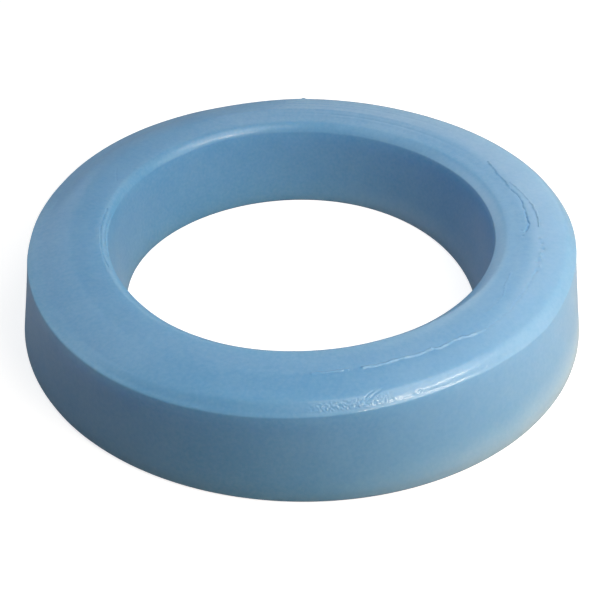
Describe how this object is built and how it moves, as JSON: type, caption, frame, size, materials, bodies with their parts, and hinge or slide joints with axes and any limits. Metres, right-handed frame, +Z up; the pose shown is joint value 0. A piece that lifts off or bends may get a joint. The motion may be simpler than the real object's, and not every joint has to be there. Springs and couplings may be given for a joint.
{
  "type": "toilet gasket",
  "caption": "Soft wax sealing ring with sloping walls and bevelled top edges, pressed between a floor waste flange and the outlet horn of a toilet bowl.",
  "frame": {"origin": "centre of the wide base face, on the surface that the ring lies on", "axes": "+Z up along the ring's own axis, from the wide base face to the narrow top face"},
  "size_m": [0.133, 0.133, 0.0222],
  "materials": {
    "blue_wax": "cloudy blue wax, satin"
  },
  "bodies": {
    "root": {"wax_ring": "blue_wax"}
  },
  "joints": []
}
